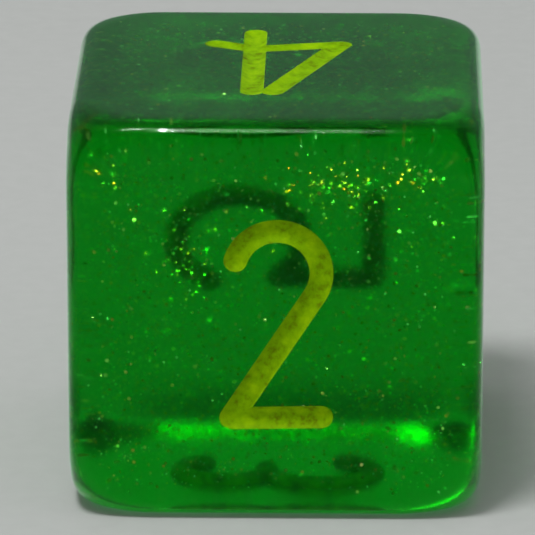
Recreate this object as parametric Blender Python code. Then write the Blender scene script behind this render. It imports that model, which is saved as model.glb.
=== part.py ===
"""A numbered gaming die: a cast resin cube with six engraved numerals, each filled with paint.

Metres, +Z up. The origin is under the middle of the die, on the surface that it rests on.
The 2 faces -Y and the 4 faces +Z.
"""

import math

import bmesh
import bpy
from mathutils import Matrix, Vector

MM = 0.001

# The cast body
SIDE = 16.0 * MM  # from face to face
HALF = SIDE / 2
SHOULDER = 1.5 * MM  # how far an edge's rounding reaches over each face
SHOULDER_POWER = 3.8  # 2 is a round edge, and more keeps the faces flatter
CORNER_RADIUS = 12.7 * MM  # tumbling brings the corners onto a sphere of this radius
CORNER_BLEND = 0.9 * MM  # over this depth the sphere runs into the edges
BODY_CUTS = 19  # grid lines across each face
SOLVER = "MANIFOLD"  # leaves closed solids where a numeral's strokes run into each other

# The engraving, whose strokes are cut by a round tool with its centre above the face
TOOL_RADIUS = 0.46 * MM
TOOL_LIFT = 0.07 * MM
NUMERAL_TOP = 3.78 * MM  # height of the topmost centre line over the numeral's middle
BOWL = 1.68 * MM  # radius of the bowls
STROKE_STEP = 0.4 * MM  # distance between two points of a curved stroke
END_ANGLES = (25, 50, 72)  # degrees round a stroke's ball end

# The paint in the engraving
PAINT_GAP = 0.025 * MM  # from the paint to the groove's wall
PAINT_DEPTH = 0.1 * MM  # from the face down to the paint

# Each face's numeral, with its reading direction and its upward direction on the die
FACES = {
    1: ((0, 1, 0), (0, 0, 1)),
    2: ((1, 0, 0), (0, 0, 1)),
    3: ((0, -1, 0), (-1, 0, 0)),
    4: ((-1, 0, 0), (0, -1, 0)),
    5: ((0, 0, 1), (1, 0, 0)),
    6: ((0, -1, 0), (0, 0, 1)),
}

RESIN_COLOUR = (0.0, 0.19, 0.01, 1.0)
PAINT_COLOUR = (0.20, 0.29, 0.005, 1.0)


# Numeral strokes, as centre lines on a flat face with the numeral's middle at (0, 0)


def arc(centre, radii, start, end):
    """Points on an ellipse from one angle to another, in degrees anticlockwise from the right."""
    sweep = math.radians(abs(end - start))
    count = max(2, round(sweep * max(radii) / STROKE_STEP))
    angles = [math.radians(start + (end - start) * i / count) for i in range(count + 1)]
    return [
        (centre[0] + radii[0] * math.cos(angle), centre[1] + radii[1] * math.sin(angle))
        for angle in angles
    ]


def strokes_of_1():
    stem_x = 0.35 * MM
    foot = (stem_x, -NUMERAL_TOP)
    head = (stem_x, NUMERAL_TOP)
    flag = (stem_x - 0.08 * MM, NUMERAL_TOP - 0.05 * MM)
    flag_tip = (stem_x - 1.5 * MM, NUMERAL_TOP - 1.25 * MM)
    return [[head, foot], [flag, flag_tip]]


def strokes_of_2():
    foot_left = (-1.68 * MM, -NUMERAL_TOP)
    foot_right = (1.78 * MM, -NUMERAL_TOP + 0.04 * MM)
    bowl_centre = (0.1 * MM, NUMERAL_TOP - BOWL)
    neck = arc(bowl_centre, (BOWL, BOWL), 163, -34)
    bar_start = (foot_left[0] + 0.1 * MM, foot_left[1] - 0.02 * MM)
    return [[*neck, foot_left], [bar_start, foot_right]]


def strokes_of_3():
    waist = NUMERAL_TOP - 2 * BOWL
    lower_bowl = (waist + NUMERAL_TOP) / 2
    upper = arc((0, waist + BOWL), (BOWL, BOWL), 152, -90)
    prong_tip = (-0.5 * MM, waist)
    lower = arc((0, waist - lower_bowl), (lower_bowl, lower_bowl), 68, -152)
    return [[*upper, prong_tip], lower]


def strokes_of_4():
    foot_y = -NUMERAL_TOP - 0.5 * MM
    top_y = NUMERAL_TOP - 0.16 * MM
    stem_x = 0.97 * MM
    bar_left = (-2.41 * MM, foot_y + 1.58 * MM)
    crossing = (stem_x, foot_y + 2.2 * MM)
    bar_right = (2.5 * MM, foot_y + 1.5 * MM)
    slope_foot = (bar_left[0] + 0.06 * MM, bar_left[1] + 0.12 * MM)
    slope_top = (stem_x - 0.81 * MM, top_y)
    stem = [(stem_x, top_y), (stem_x, foot_y)]
    return [[bar_left, crossing, bar_right], [slope_foot, slope_top], stem]


def strokes_of_5():
    left = -1.6 * MM
    bowl_radii = (1.9 * MM, 2.5 * MM)
    bowl_centre = (-0.05 * MM, bowl_radii[1] - NUMERAL_TOP - 0.35 * MM)
    bar = [(left + 0.1 * MM, NUMERAL_TOP), (1.6 * MM, NUMERAL_TOP - 0.03 * MM)]
    bowl = arc(bowl_centre, bowl_radii, 140, -152)
    stem = [(left, NUMERAL_TOP - 0.06 * MM), (left + 0.05 * MM, bowl[0][1] - 0.04 * MM)]
    return [bar, stem, bowl]


def strokes_of_6():
    loop = 1.85 * MM
    loop_centre = (0, loop - NUMERAL_TOP)
    back_radii = (2.9 * MM, 2 * NUMERAL_TOP - loop)
    back_centre = (back_radii[0] - loop, loop_centre[1])
    back = arc(back_centre, back_radii, 96, 180)
    under = arc(loop_centre, (loop, loop), 180, 300)
    over = arc(loop_centre, (loop, loop), -64, 174)
    return [[*back, *under[1:]], over]


STROKES = {
    1: strokes_of_1,
    2: strokes_of_2,
    3: strokes_of_3,
    4: strokes_of_4,
    5: strokes_of_5,
    6: strokes_of_6,
}


# Shared helpers


def clear_scene():
    for thing in list(bpy.data.objects):
        bpy.data.objects.remove(thing)


def new_collection(name):
    collection = bpy.data.collections.new(name)
    bpy.context.scene.collection.children.link(collection)
    return collection


def new_material(name, colour, roughness):
    material = bpy.data.materials.new(name)
    material.use_nodes = True
    shader = material.node_tree.nodes["Principled BSDF"]
    shader.inputs["Base Color"].default_value = colour
    shader.inputs["Roughness"].default_value = roughness
    shader.inputs["Metallic"].default_value = 0.0
    return material


def new_object(name, mesh, collection):
    thing = bpy.data.objects.new(name, mesh)
    collection.objects.link(thing)
    return thing


def hide_cutter(cutter):
    cutter.hide_render = True
    cutter.display_type = "WIRE"


def add_boolean(target, operation, other):
    boolean = target.modifiers.new(operation.lower() + "_" + other.name, "BOOLEAN")
    boolean.operation = operation
    boolean.object = other
    boolean.solver = SOLVER


def face_matrix(number):
    """Puts a numeral drawn in the XY plane on its face of the die, with +Z pointing out."""
    right, up = (Vector(axis) for axis in FACES[number])
    out = right.cross(up)
    turn = Matrix((right, up, out)).transposed().to_4x4()
    return Matrix.Translation(out * HALF + Vector((0, 0, HALF))) @ turn


# The body


def smooth_minimum(a, b, blend):
    """The smaller of two lengths, rounded over where they are within blend of each other."""
    closeness = max(blend - abs(a - b), 0) / blend
    return min(a, b) - closeness * closeness * blend / 4


def tumbled(point):
    """Moves a point of a cube's surface onto the rounded die."""
    core = Vector([max(-HALF + SHOULDER, min(HALF - SHOULDER, value)) for value in point])
    offset = point - core
    reach = sum(abs(value) ** SHOULDER_POWER for value in offset) ** (1 / SHOULDER_POWER)
    rounded = core + offset * (SHOULDER / reach)
    distance = rounded.length
    return rounded * (smooth_minimum(distance, CORNER_RADIUS, CORNER_BLEND) / distance)


def crowded_to_edges(value):
    """Spaces evenly spread grid lines closer together towards the cube's edges."""
    return HALF * math.sin(math.pi / 2 * max(-1, min(1, value / HALF)))


def make_body(collection, material):
    bm = bmesh.new()
    bmesh.ops.create_cube(bm, size=SIDE)
    bmesh.ops.subdivide_edges(bm, edges=bm.edges[:], cuts=BODY_CUTS, use_grid_fill=True)
    for vertex in bm.verts:
        vertex.co = tumbled(Vector([crowded_to_edges(value) for value in vertex.co]))
        vertex.co.z += HALF
    bmesh.ops.dissolve_limit(
        bm, angle_limit=math.radians(0.1), verts=bm.verts[:], edges=bm.edges[:]
    )
    mesh = bpy.data.meshes.new("die_body")
    bm.to_mesh(mesh)
    bm.free()
    mesh.shade_smooth()
    mesh.set_sharp_from_angle(angle=math.radians(35))
    mesh.materials.append(material)
    return new_object("die_body", mesh, collection)


# The engraving and its paint


def ball_end(tip, before, radius):
    """Points and relative radii that round off a stroke past its tip."""
    outwards = (tip - before).normalized()
    return [
        (tip + outwards * radius * math.sin(math.radians(angle)), math.cos(math.radians(angle)))
        for angle in END_ANGLES
    ]


def stroke_mesh(name, centre_line, radius, collection):
    """A ball-ended tube along a stroke, as a closed mesh in the XY plane raised by the lift."""
    line = [Vector((x, y, TOOL_LIFT)) for x, y in centre_line]
    start = ball_end(line[0], line[1], radius)
    end = ball_end(line[-1], line[-2], radius)
    points = start[::-1] + [(point, 1.0) for point in line] + end

    curve = bpy.data.curves.new(name, "CURVE")
    curve.dimensions = "3D"
    curve.bevel_depth = radius
    curve.bevel_resolution = 3
    curve.use_fill_caps = True
    spline = curve.splines.new("POLY")
    spline.points.add(len(points) - 1)
    for spline_point, (place, relative_radius) in zip(spline.points, points):
        spline_point.co = (*place, 1.0)
        spline_point.radius = relative_radius

    tube = new_object(name, curve, collection)
    graph = bpy.context.evaluated_depsgraph_get()
    mesh = bpy.data.meshes.new_from_object(tube.evaluated_get(graph))
    bpy.data.objects.remove(tube)
    bm = bmesh.new()
    bm.from_mesh(mesh)
    bmesh.ops.remove_doubles(bm, verts=bm.verts[:], dist=0.001 * MM)
    bmesh.ops.recalc_face_normals(bm, faces=bm.faces[:])
    bm.to_mesh(mesh)
    bm.free()
    return mesh


def engrave(body, number, cutters):
    for i, centre_line in enumerate(STROKES[number]()):
        name = f"groove_{number}_{i + 1}"
        mesh = stroke_mesh(name, centre_line, TOOL_RADIUS, cutters)
        cutter = new_object(name, mesh, cutters)
        cutter.matrix_world = face_matrix(number)
        hide_cutter(cutter)
        add_boolean(body, "DIFFERENCE", cutter)


def cover_block(number, cutters):
    """Takes away all of a numeral's strokes that is above the paint's level."""
    bm = bmesh.new()
    bmesh.ops.create_cube(bm, size=SIDE)
    bmesh.ops.translate(bm, verts=bm.verts[:], vec=(0, 0, HALF - PAINT_DEPTH))
    name = f"cover_{number}"
    mesh = bpy.data.meshes.new(name)
    bm.to_mesh(mesh)
    bm.free()
    block = new_object(name, mesh, cutters)
    block.matrix_world = face_matrix(number)
    hide_cutter(block)
    return block


def make_paint(number, collection, cutters, material):
    radius = TOOL_RADIUS - PAINT_GAP
    first, *others = STROKES[number]()
    name = f"numeral_{number}_paint"
    paint = new_object(name, stroke_mesh(name, first, radius, collection), collection)
    paint.matrix_world = face_matrix(number)
    for i, centre_line in enumerate(others):
        piece_name = f"paint_{number}_{i + 2}"
        mesh = stroke_mesh(piece_name, centre_line, radius, cutters)
        piece = new_object(piece_name, mesh, cutters)
        piece.matrix_world = face_matrix(number)
        hide_cutter(piece)
        add_boolean(paint, "UNION", piece)
    add_boolean(paint, "DIFFERENCE", cover_block(number, cutters))
    paint.data.materials.append(material)
    return paint


def main():
    clear_scene()
    parts = new_collection("casino_die")
    cutters = new_collection("cutters")
    resin = new_material("green_resin", RESIN_COLOUR, 0.06)
    body = make_body(parts, resin)
    for number in FACES:
        engrave(body, number, cutters)
        paint = new_material(f"numeral_{number}_paint", PAINT_COLOUR, 0.5)
        make_paint(number, parts, cutters, paint)


main()
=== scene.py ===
"""The looks of a numbered gaming die of clear green resin with glitter cast into it.

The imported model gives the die's place and size. This script makes a finer body with the same
rounding and engraving, concave paint in the numerals, and the glitter flakes inside the resin.
"""

import math

import bmesh
import bpy
import numpy as np
from mathutils import Matrix, Vector


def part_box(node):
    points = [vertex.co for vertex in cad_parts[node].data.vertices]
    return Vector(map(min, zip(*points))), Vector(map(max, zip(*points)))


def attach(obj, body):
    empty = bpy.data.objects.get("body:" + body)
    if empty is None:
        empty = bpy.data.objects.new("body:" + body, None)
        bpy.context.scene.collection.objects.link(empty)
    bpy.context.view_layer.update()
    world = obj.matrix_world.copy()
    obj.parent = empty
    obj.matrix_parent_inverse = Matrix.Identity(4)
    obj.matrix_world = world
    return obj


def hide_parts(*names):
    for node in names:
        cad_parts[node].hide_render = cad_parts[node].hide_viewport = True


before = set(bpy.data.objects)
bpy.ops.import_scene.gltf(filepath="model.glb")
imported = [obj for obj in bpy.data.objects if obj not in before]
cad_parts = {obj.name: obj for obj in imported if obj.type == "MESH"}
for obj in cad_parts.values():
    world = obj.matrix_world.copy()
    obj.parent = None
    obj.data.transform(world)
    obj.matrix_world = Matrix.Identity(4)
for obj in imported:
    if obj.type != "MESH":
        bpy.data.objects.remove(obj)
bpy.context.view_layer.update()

body_low, body_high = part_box("die_body")
SIDE = body_high.z - body_low.z
HALF = SIDE / 2
MIDDLE = (body_low + body_high) / 2
MM = SIDE / 16  # the die is 16 mm

# The body's rounding, as in the CAD model
SHOULDER = 1.5 * MM
SHOULDER_POWER = 3.8
CORNER_RADIUS = 12.7 * MM
CORNER_BLEND = 0.9 * MM
BODY_CUTS = 79  # grid lines across each face, four times as fine as the CAD model's

# The engraving, as in the CAD model but with finer strokes
TOOL_RADIUS = 0.46 * MM
TOOL_LIFT = 0.07 * MM
NUMERAL_TOP = 3.78 * MM
BOWL = 1.68 * MM
STROKE_STEP = 0.12 * MM  # distance between two points of a curved stroke
BALL_RINGS = 7  # rings of points round each ball end
BEVEL_RESOLUTION = 12  # of the tubes that cut the strokes
WELD = 0.0005 * MM  # points of a stroke closer than this become one

# The paint wets the groove's wall, and its surface sags between the rims
PAINT_WETTING = 0.005 * MM  # how far the paint reaches into the wall
SAG_RADIUS = 0.77 * MM  # of the tool that hollows the paint's surface
SAG_LIFT = 0.618 * MM  # from the face up to the middle of that tool
RIM_INSET = 0.002 * MM  # the paint's rim stays this far under the face
SLIVER = 0.0008 * MM  # edges of the paint shorter than this are merged

# The glitter
FLAKE_THICKNESS = 0.004 * MM
GLITTER_INSET = 0.7 * MM  # from the faces to the nearest flake's middle
EDGE_CLEARANCE = 1.5 * MM  # from the edges to the nearest flake's middle

# The streaks of aligned flakes. Each row is the streak's middle across and up the die as seen
# on the front face, its spread both ways, all in mm, and its number of flakes.
STREAKS = (
    (2.4, 5.5, 1.3, 0.5, 100),
    (5.3, 5.8, 0.8, 0.3, 36),
    (-6.2, 6.2, 0.35, 0.35, 12),
    (-3.5, 2.2, 0.5, 1.0, 90),
    (-4.5, -1.3, 0.9, 1.2, 10),
    (0.0, 1.5, 4.0, 3.0, 40),
)
STREAK_DEPTHS = (0.9, 5.0)  # mm behind the front face
STREAK_DROP = 0.218  # how much lower a flake lies for each mm of its depth
STREAK_NORMAL = (-0.09, -0.69, 0.72)  # the way that the aligned flakes face
STREAK_SCATTER = 0.05  # spread of their directions round it
STREAK_LIMITS = (-HALF + 0.8 * MM, HALF - 1.6 * MM)  # their middles keep between these

# Each face's numeral, with its reading direction and its upward direction on the die
FACES = {
    1: ((0, 1, 0), (0, 0, 1)),
    2: ((1, 0, 0), (0, 0, 1)),
    3: ((0, -1, 0), (-1, 0, 0)),
    4: ((-1, 0, 0), (0, -1, 0)),
    5: ((0, 0, 1), (1, 0, 0)),
    6: ((0, -1, 0), (0, 0, 1)),
}


# Numeral strokes, as centre lines on a flat face with the numeral's middle at (0, 0)


def arc(centre, radii, start, end):
    """Points on an ellipse from one angle to another, in degrees anticlockwise from the right."""
    sweep = math.radians(abs(end - start))
    count = max(2, round(sweep * max(radii) / STROKE_STEP))
    angles = [math.radians(start + (end - start) * i / count) for i in range(count + 1)]
    return [
        (centre[0] + radii[0] * math.cos(angle), centre[1] + radii[1] * math.sin(angle))
        for angle in angles
    ]


def strokes_of_1():
    stem_x = 0.35 * MM
    foot = (stem_x, -NUMERAL_TOP)
    head = (stem_x, NUMERAL_TOP)
    flag = (stem_x - 0.08 * MM, NUMERAL_TOP - 0.05 * MM)
    flag_tip = (stem_x - 1.5 * MM, NUMERAL_TOP - 1.25 * MM)
    return [[head, foot], [flag, flag_tip]]


def strokes_of_2():
    foot_left = (-1.68 * MM, -NUMERAL_TOP)
    foot_right = (1.78 * MM, -NUMERAL_TOP + 0.04 * MM)
    bowl_centre = (0.1 * MM, NUMERAL_TOP - BOWL)
    neck = arc(bowl_centre, (BOWL, BOWL), 163, -34)
    bar_start = (foot_left[0] + 0.1 * MM, foot_left[1] - 0.02 * MM)
    return [[*neck, foot_left], [bar_start, foot_right]]


def strokes_of_3():
    waist = NUMERAL_TOP - 2 * BOWL
    lower_bowl = (waist + NUMERAL_TOP) / 2
    upper = arc((0, waist + BOWL), (BOWL, BOWL), 152, -90)
    prong_tip = (-0.5 * MM, waist)
    lower = arc((0, waist - lower_bowl), (lower_bowl, lower_bowl), 68, -152)
    return [[*upper, prong_tip], lower]


def strokes_of_4():
    foot_y = -NUMERAL_TOP - 0.5 * MM
    top_y = NUMERAL_TOP - 0.16 * MM
    stem_x = 0.97 * MM
    bar_left = (-2.41 * MM, foot_y + 1.58 * MM)
    crossing = (stem_x, foot_y + 2.2 * MM)
    bar_right = (2.5 * MM, foot_y + 1.5 * MM)
    slope_foot = (bar_left[0] + 0.06 * MM, bar_left[1] + 0.12 * MM)
    slope_top = (stem_x - 0.81 * MM, top_y)
    stem = [(stem_x, top_y), (stem_x, foot_y)]
    return [[bar_left, crossing, bar_right], [slope_foot, slope_top], stem]


def strokes_of_5():
    left = -1.6 * MM
    bowl_radii = (1.9 * MM, 2.5 * MM)
    bowl_centre = (-0.05 * MM, bowl_radii[1] - NUMERAL_TOP - 0.35 * MM)
    bar = [(left + 0.1 * MM, NUMERAL_TOP), (1.6 * MM, NUMERAL_TOP - 0.03 * MM)]
    bowl = arc(bowl_centre, bowl_radii, 140, -152)
    stem = [(left, NUMERAL_TOP - 0.06 * MM), (left + 0.05 * MM, bowl[0][1] - 0.04 * MM)]
    return [bar, stem, bowl]


def strokes_of_6():
    loop = 1.85 * MM
    loop_centre = (0, loop - NUMERAL_TOP)
    back_radii = (2.9 * MM, 2 * NUMERAL_TOP - loop)
    back_centre = (back_radii[0] - loop, loop_centre[1])
    back = arc(back_centre, back_radii, 96, 180)
    under = arc(loop_centre, (loop, loop), 180, 300)
    over = arc(loop_centre, (loop, loop), -64, 174)
    return [[*back, *under[1:]], over]


STROKES = {
    1: strokes_of_1,
    2: strokes_of_2,
    3: strokes_of_3,
    4: strokes_of_4,
    5: strokes_of_5,
    6: strokes_of_6,
}


# Mesh helpers


def new_object(name, mesh):
    thing = bpy.data.objects.new(name, mesh)
    bpy.context.scene.collection.objects.link(thing)
    return thing


def face_matrix(number):
    """Puts a numeral drawn in the XY plane on its face of the die, with +Z pointing out."""
    right, up = (Vector(axis) for axis in FACES[number])
    out = right.cross(up)
    turn = Matrix((right, up, out)).transposed().to_4x4()
    return Matrix.Translation(out * HALF + MIDDLE) @ turn


def apply_modifiers(thing):
    graph = bpy.context.evaluated_depsgraph_get()
    old = thing.data
    mesh = bpy.data.meshes.new_from_object(thing.evaluated_get(graph))
    mesh.name = old.name
    thing.modifiers.clear()
    thing.data = mesh
    bpy.data.meshes.remove(old)


def boolean_all(target, operation, others):
    """Applies one Boolean for each of the other objects, and removes them."""
    for other in others:
        boolean = target.modifiers.new(other.name, "BOOLEAN")
        boolean.operation = operation
        boolean.object = other
        boolean.solver = "MANIFOLD"
    apply_modifiers(target)
    for other in others:
        bpy.data.objects.remove(other)


def ball_end(tip, before, radius):
    """Points and relative radii that round off a stroke past its tip."""
    outwards = (tip - before).normalized()
    angles = [math.pi / 2 * (i + 1) / (BALL_RINGS + 0.5) for i in range(BALL_RINGS)]
    return [(tip + outwards * radius * math.sin(angle), math.cos(angle)) for angle in angles]


def stroke_solid(name, number, centre_line, radius, lift):
    """A ball-ended tube along a stroke of a numeral, in place on its face."""
    line = [Vector((x, y, lift)) for x, y in centre_line]
    start = ball_end(line[0], line[1], radius)
    end = ball_end(line[-1], line[-2], radius)
    points = start[::-1] + [(point, 1.0) for point in line] + end
    curve = bpy.data.curves.new(name, "CURVE")
    curve.dimensions = "3D"
    curve.bevel_depth = radius
    curve.bevel_resolution = BEVEL_RESOLUTION
    curve.use_fill_caps = True
    spline = curve.splines.new("POLY")
    spline.points.add(len(points) - 1)
    for spline_point, (place, relative_radius) in zip(spline.points, points):
        spline_point.co = (*place, 1.0)
        spline_point.radius = relative_radius
    tube = new_object(name, curve)
    graph = bpy.context.evaluated_depsgraph_get()
    mesh = bpy.data.meshes.new_from_object(tube.evaluated_get(graph))
    bpy.data.objects.remove(tube)
    bm = bmesh.new()
    bm.from_mesh(mesh)
    bmesh.ops.remove_doubles(bm, verts=bm.verts[:], dist=WELD)
    bmesh.ops.recalc_face_normals(bm, faces=bm.faces[:])
    bmesh.ops.transform(bm, verts=bm.verts[:], matrix=face_matrix(number))
    bm.to_mesh(mesh)
    bm.free()
    return new_object(name, mesh)


def numeral_solids(name, number, radius, lift):
    """One tube for each stroke of a numeral."""
    return [
        stroke_solid(f"{name}_{i + 1}", number, centre_line, radius, lift)
        for i, centre_line in enumerate(STROKES[number]())
    ]


# The body


def smooth_minimum(a, b, blend):
    """The smaller of two lengths, rounded over where they are within blend of each other."""
    closeness = max(blend - abs(a - b), 0) / blend
    return min(a, b) - closeness * closeness * blend / 4


def tumbled(point):
    """Moves a point of a cube's surface onto the rounded die."""
    core = Vector([max(-HALF + SHOULDER, min(HALF - SHOULDER, value)) for value in point])
    offset = point - core
    reach = sum(abs(value) ** SHOULDER_POWER for value in offset) ** (1 / SHOULDER_POWER)
    rounded = core + offset * (SHOULDER / reach)
    distance = rounded.length
    return rounded * (smooth_minimum(distance, CORNER_RADIUS, CORNER_BLEND) / distance)


def crowded_to_edges(value):
    """Spaces evenly spread grid lines closer together towards the cube's edges."""
    return HALF * math.sin(math.pi / 2 * max(-1, min(1, value / HALF)))


def make_body():
    """The rounded cube with the six numerals engraved in it."""
    bm = bmesh.new()
    bmesh.ops.create_cube(bm, size=SIDE)
    bmesh.ops.subdivide_edges(bm, edges=bm.edges[:], cuts=BODY_CUTS, use_grid_fill=True)
    for vertex in bm.verts:
        vertex.co = tumbled(Vector([crowded_to_edges(value) for value in vertex.co])) + MIDDLE
    mesh = bpy.data.meshes.new("resin_body")
    bm.to_mesh(mesh)
    bm.free()
    body = new_object("resin_body", mesh)
    cutters = [
        cutter
        for number in FACES
        for cutter in numeral_solids(f"groove_{number}", number, TOOL_RADIUS, TOOL_LIFT)
    ]
    boolean_all(body, "DIFFERENCE", cutters)
    body.data.shade_smooth()
    body.data.set_sharp_from_angle(angle=math.radians(30))
    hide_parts("die_body")
    return body


# The paint


def clean_paint(mesh):
    """Presses a rim that stands proud to just under the die's faces, and merges slivers."""
    inset = Vector((RIM_INSET, RIM_INSET, RIM_INSET))
    low = body_low + inset
    high = body_high - inset
    bm = bmesh.new()
    bm.from_mesh(mesh)
    for vertex in bm.verts:
        vertex.co = [max(low[i], min(high[i], vertex.co[i])) for i in range(3)]
    bmesh.ops.remove_doubles(bm, verts=bm.verts[:], dist=SLIVER)
    bmesh.ops.dissolve_degenerate(bm, edges=bm.edges[:], dist=SLIVER)
    bm.to_mesh(mesh)
    bm.free()


def make_paint(number):
    """The paint in one numeral, as one solid."""
    name = f"paint_in_{number}"
    first, *others = numeral_solids(name, number, TOOL_RADIUS + PAINT_WETTING, TOOL_LIFT)
    boolean_all(first, "UNION", others)
    boolean_all(first, "DIFFERENCE", numeral_solids(f"sag_{number}", number, SAG_RADIUS, SAG_LIFT))
    clean_paint(first.data)
    first.name = name
    first.data.shade_smooth()
    first.data.set_sharp_from_angle(angle=math.radians(35))
    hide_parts(f"numeral_{number}_paint")
    return first


# The glitter


def flake_mesh(name, centres, normals, spins, radii):
    """Closed six-sided plates, one for each centre."""
    turns = np.linspace(0, 2 * math.pi, 6, endpoint=False)
    not_parallel = np.roll(normals, 1, axis=1) + 0.123
    side = np.cross(normals, not_parallel)
    side /= np.linalg.norm(side, axis=1, keepdims=True)
    other = np.cross(normals, side)
    angles = turns[None, :] + spins[:, None]
    ring = (
        side[:, None, :] * np.cos(angles)[:, :, None]
        + other[:, None, :] * np.sin(angles)[:, :, None]
    ) * radii[:, None, None]
    lift = normals[:, None, :] * FLAKE_THICKNESS / 2
    points = np.concatenate([centres[:, None] + ring + lift, centres[:, None] + ring - lift], 1)
    top = tuple(range(6))
    bottom = tuple(range(11, 5, -1))
    walls = [(i, i + 6, (i + 1) % 6 + 6, (i + 1) % 6) for i in range(6)]
    faces = [
        tuple(12 * flake + corner for corner in face)
        for flake in range(len(centres))
        for face in (top, bottom, *walls)
    ]
    mesh = bpy.data.meshes.new(name)
    mesh.from_pydata(points.reshape(-1, 3), [], faces)
    return mesh


def add_flakes(name, centres, normals, sizes, material, rng):
    spins = rng.uniform(0, math.pi, len(centres))
    radii = rng.uniform(*sizes, len(centres)) * MM / 2
    mesh = flake_mesh(name, centres + np.array(MIDDLE), normals, spins, radii)
    mesh.materials.append(material)
    glitter = new_object(name, mesh)
    return glitter


def make_glitter(name, count, seed, sizes, material):
    """Flakes spread through the resin, clear of its faces, edges and engraving."""
    rng = np.random.default_rng(seed)
    inner = HALF - GLITTER_INSET
    centres = rng.uniform(-inner, inner, (count * 2, 3))
    clear_of_edges = np.sort(np.abs(centres), axis=1)[:, 1] < HALF - EDGE_CLEARANCE
    centres = centres[clear_of_edges][:count]
    normals = rng.normal(size=(len(centres), 3))
    normals /= np.linalg.norm(normals, axis=1, keepdims=True)
    return add_flakes(name, centres, normals, sizes, material, rng)


def make_streaks(name, seed, sizes, material):
    """Flakes that the flow of the casting has laid much the same way, so they flash together."""
    rng = np.random.default_rng(seed)
    places = []
    for x, z, spread_x, spread_z, count in STREAKS:
        depth = rng.uniform(*STREAK_DEPTHS, count)
        across = x + rng.normal(0, spread_x, count)
        height = z + rng.normal(0, spread_z, count) - STREAK_DROP * depth
        places.append(np.stack([across, depth - HALF / MM, height], axis=1) * MM)
    centres = np.clip(np.concatenate(places), *STREAK_LIMITS)
    normals = np.array(STREAK_NORMAL) + rng.normal(0, STREAK_SCATTER, centres.shape)
    normals /= np.linalg.norm(normals, axis=1, keepdims=True)
    return add_flakes(name, centres, normals, sizes, material, rng)


# Materials


def new_material(name):
    material = bpy.data.materials.new(name)
    material.use_nodes = True
    nodes = material.node_tree.nodes
    return material, nodes, material.node_tree.links, nodes["Principled BSDF"]


def add_noise(nodes, links, scale, detail, roughness=0.55):
    """Noise over the object's own coordinates, with its scale in features per millimetre."""
    place = nodes.new("ShaderNodeTexCoord")
    noise = nodes.new("ShaderNodeTexNoise")
    noise.inputs["Scale"].default_value = scale / MM
    noise.inputs["Detail"].default_value = detail
    noise.inputs["Roughness"].default_value = roughness
    links.new(place.outputs["Object"], noise.inputs["Vector"])
    return noise


def add_range(nodes, links, source, low, high, out_low, out_high):
    ranged = nodes.new("ShaderNodeMapRange")
    ranged.inputs["From Min"].default_value = low
    ranged.inputs["From Max"].default_value = high
    ranged.inputs["To Min"].default_value = out_low
    ranged.inputs["To Max"].default_value = out_high
    links.new(source, ranged.inputs["Value"])
    return ranged


def add_bump(nodes, links, height, strength, distance):
    bump = nodes.new("ShaderNodeBump")
    bump.inputs["Strength"].default_value = strength
    bump.inputs["Distance"].default_value = distance
    links.new(height, bump.inputs["Height"])
    return bump


def resin_material():
    material, nodes, links, shader = new_material("green_resin")
    shader.inputs["Base Color"].default_value = (1.0, 1.0, 1.0, 1.0)
    shader.inputs["Transmission Weight"].default_value = 1.0
    shader.inputs["IOR"].default_value = 1.5
    shader.inputs["Specular Tint"].default_value = (0.03, 0.08, 0.03, 1.0)
    shader.inputs["Coat Weight"].default_value = 1.0
    shader.inputs["Coat Roughness"].default_value = 0.04
    shader.inputs["Coat IOR"].default_value = 1.13
    shader.inputs["Sheen Weight"].default_value = 0.2
    shader.inputs["Sheen Roughness"].default_value = 0.4
    shader.inputs["Sheen Tint"].default_value = (0.03, 1.0, 0.2, 1.0)
    wear = add_noise(nodes, links, 1.5, 6)
    roughness = add_range(nodes, links, wear.outputs["Fac"], 0.35, 0.7, 0.14, 0.2)
    links.new(roughness.outputs["Result"], shader.inputs["Roughness"])
    swell = add_noise(nodes, links, 0.25, 2)
    bump = add_bump(nodes, links, swell.outputs["Fac"], 0.3, 0.004 * MM)
    links.new(bump.outputs["Normal"], shader.inputs["Normal"])
    absorption = nodes.new("ShaderNodeVolumeAbsorption")
    absorption.inputs["Color"].default_value = (0.0, 0.835, 0.25, 1.0)
    absorption.inputs["Density"].default_value = 400.0
    links.new(absorption.outputs["Volume"], nodes["Material Output"].inputs["Volume"])
    return material


def paint_material():
    material, nodes, links, shader = new_material("numeral_paint")
    mottle = add_noise(nodes, links, 1.6, 7, 0.7)
    ramp = nodes.new("ShaderNodeValToRGB")
    ramp.color_ramp.elements[0].position = 0.32
    ramp.color_ramp.elements[0].color = (0.10, 0.13, 0.0003, 1.0)
    ramp.color_ramp.elements[1].position = 0.68
    ramp.color_ramp.elements[1].color = (0.265, 0.475, 0.0004, 1.0)
    middle = ramp.color_ramp.elements.new(0.46)
    middle.color = (0.165, 0.35, 0.0002, 1.0)
    links.new(mottle.outputs["Fac"], ramp.inputs["Fac"])
    links.new(ramp.outputs["Color"], shader.inputs["Base Color"])
    shader.inputs["Roughness"].default_value = 0.6
    shader.inputs["Specular IOR Level"].default_value = 0.02
    grain = add_noise(nodes, links, 12.0, 4)
    bump = add_bump(nodes, links, grain.outputs["Fac"], 0.5, 0.02 * MM)
    links.new(bump.outputs["Normal"], shader.inputs["Normal"])
    return material


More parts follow.
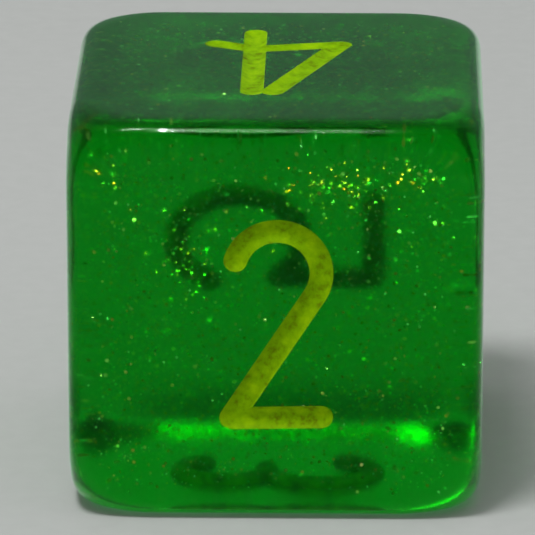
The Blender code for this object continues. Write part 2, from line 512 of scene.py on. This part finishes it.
def glitter_material(name, dark, light, roughness):
    """Foil whose shade changes from flake to flake."""
    material, nodes, links, shader = new_material(name)
    geometry = nodes.new("ShaderNodeNewGeometry")
    ramp = nodes.new("ShaderNodeValToRGB")
    ramp.color_ramp.elements[0].color = (*dark, 1.0)
    ramp.color_ramp.elements[1].color = (*light, 1.0)
    links.new(geometry.outputs["Random Per Island"], ramp.inputs["Fac"])
    links.new(ramp.outputs["Color"], shader.inputs["Base Color"])
    shader.inputs["Metallic"].default_value = 1.0
    shader.inputs["Roughness"].default_value = roughness
    return material


def floor_material():
    material, nodes, links, shader = new_material("pale_floor")
    fibre = add_noise(nodes, links, 1.2, 4)
    ramp = nodes.new("ShaderNodeValToRGB")
    ramp.color_ramp.elements[0].color = (0.38, 0.39, 0.38, 1.0)
    ramp.color_ramp.elements[1].color = (0.42, 0.43, 0.42, 1.0)
    links.new(fibre.outputs["Fac"], ramp.inputs["Fac"])
    links.new(ramp.outputs["Color"], shader.inputs["Base Color"])
    shader.inputs["Roughness"].default_value = 0.85
    return material


# The stage


def make_floor():
    mesh = bpy.data.meshes.new("floor")
    bm = bmesh.new()
    bmesh.ops.create_grid(bm, x_segments=1, y_segments=1, size=60 * SIDE)
    bm.to_mesh(mesh)
    bm.free()
    floor = new_object("floor", mesh)
    floor.location.z = body_low.z - 0.01 * MM
    floor.data.materials.append(floor_material())


def aim(thing, target):
    thing.rotation_euler = (target - thing.location).to_track_quat("-Z", "Y").to_euler()


def add_area_light(name, place, size, power):
    """A lamp at a place measured from the die's middle, in metres, that points at the middle."""
    light = bpy.data.lights.new(name, "AREA")
    light.shape = "RECTANGLE"
    light.size, light.size_y = size
    light.energy = power
    lamp = new_object(name, light)
    lamp.location = MIDDLE + Vector(place)
    aim(lamp, MIDDLE)
    return lamp


def make_lights():
    """A key lamp high on the left, and two narrow lamps that line the front edge with light."""
    add_area_light("key", (-0.09, -0.115, 0.42), (0.1, 0.1), 1.35)
    narrow_lamps = (("strip", -0.017, (0.0038, 0.13), 0.62), ("tube", -0.005, (0.0175, 0.12), 0.11))
    for name, across, size, power in narrow_lamps:
        lamp = add_area_light(name, (across, -0.14, 0.276), size, power)
        aim(lamp, MIDDLE + Vector((across, 0, 0)))
        lamp.visible_diffuse = False
        lamp.visible_transmission = False


def add_colour(nodes, colour):
    node = nodes.new("ShaderNodeRGB")
    node.outputs["Color"].default_value = (*colour, 1.0)
    return node.outputs["Color"]


def add_mix(nodes, links, factor, first, second):
    mix = nodes.new("ShaderNodeMix")
    mix.data_type = "RGBA"
    links.new(factor, mix.inputs["Factor"])
    links.new(first, mix.inputs["A"])
    links.new(second, mix.inputs["B"])
    return mix.outputs["Result"]


def make_world():
    """Even light on the floor and through the resin, a dim room in reflections, a pale backdrop."""
    world = bpy.data.worlds.new("studio")
    bpy.context.scene.world = world
    world.cycles.sampling_method = "NONE"
    world.use_nodes = True
    nodes = world.node_tree.nodes
    links = world.node_tree.links
    path = nodes.new("ShaderNodeLightPath")
    ceiling = add_colour(nodes, (0.55, 0.56, 0.55))
    walls = add_colour(nodes, (0.12, 0.125, 0.13))
    backdrop = add_colour(nodes, (0.47, 0.48, 0.47))
    mirrored = nodes.new("ShaderNodeMath")
    mirrored.operation = "SUBTRACT"
    mirrored.use_clamp = True
    links.new(path.outputs["Is Glossy Ray"], mirrored.inputs[0])
    links.new(path.outputs["Is Transmission Ray"], mirrored.inputs[1])
    lit = add_mix(nodes, links, mirrored.outputs["Value"], ceiling, walls)
    seen = add_mix(nodes, links, path.outputs["Is Camera Ray"], lit, backdrop)
    links.new(seen, nodes["Background"].inputs["Color"])
    nodes["Background"].inputs["Strength"].default_value = 1.0


def make_camera():
    """A long lens a little above the die, level with the 2."""
    elevation = math.radians(18.7)
    azimuth = math.radians(1.0)
    distance = 235 * MM
    away = Vector(
        (
            math.sin(azimuth) * math.cos(elevation),
            -math.cos(azimuth) * math.cos(elevation),
            math.sin(elevation),
        )
    )
    data = bpy.data.cameras.new("camera")
    data.sensor_width = 36.0
    data.lens = 400.0
    data.clip_start = 0.01
    data.clip_end = 3.0
    data.shift_x = -0.0206
    data.shift_y = -0.0176
    camera = new_object("camera", data)
    camera.location = MIDDLE + away * distance
    aim(camera, MIDDLE)
    bpy.context.scene.camera = camera


# Putting it together


def set_material(piece, material):
    piece.data.materials.clear()
    piece.data.materials.append(material)


def make_all_glitter():
    """Gold and green flakes all through the resin, and the streaks of brighter ones."""
    gold = glitter_material("gold_glitter", (0.8, 0.42, 0.05), (1.0, 0.8, 0.3), 0.35)
    green = glitter_material("green_glitter", (0.2, 0.8, 0.15), (0.6, 0.95, 0.5), 0.5)
    bright = glitter_material("bright_glitter", (0.7, 0.09, 0.004), (0.04, 0.3, 0.03), 0.15)
    return [
        make_glitter("gold_glitter", 7000, 4, (0.05, 0.16), gold),
        make_glitter("green_glitter", 9000, 7, (0.04, 0.10), green),
        make_streaks("bright_glitter", 11, (0.03, 0.10), bright),
    ]


def set_light_paths():
    """Enough bounces for light to cross the resin several times."""
    scene = bpy.context.scene
    scene.view_settings.view_transform = "Standard"
    scene.cycles.max_bounces = 24
    scene.cycles.transmission_bounces = 20
    scene.cycles.glossy_bounces = 12
    scene.cycles.sample_clamp_indirect = 30.0


def main():
    make_camera()
    body = make_body()
    set_material(body, resin_material())
    paint = paint_material()
    pieces = [body]
    for number in FACES:
        piece = make_paint(number)
        set_material(piece, paint)
        pieces.append(piece)
    pieces += make_all_glitter()
    for piece in pieces:
        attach(piece, "root")
    make_floor()
    make_lights()
    make_world()
    set_light_paths()


main()
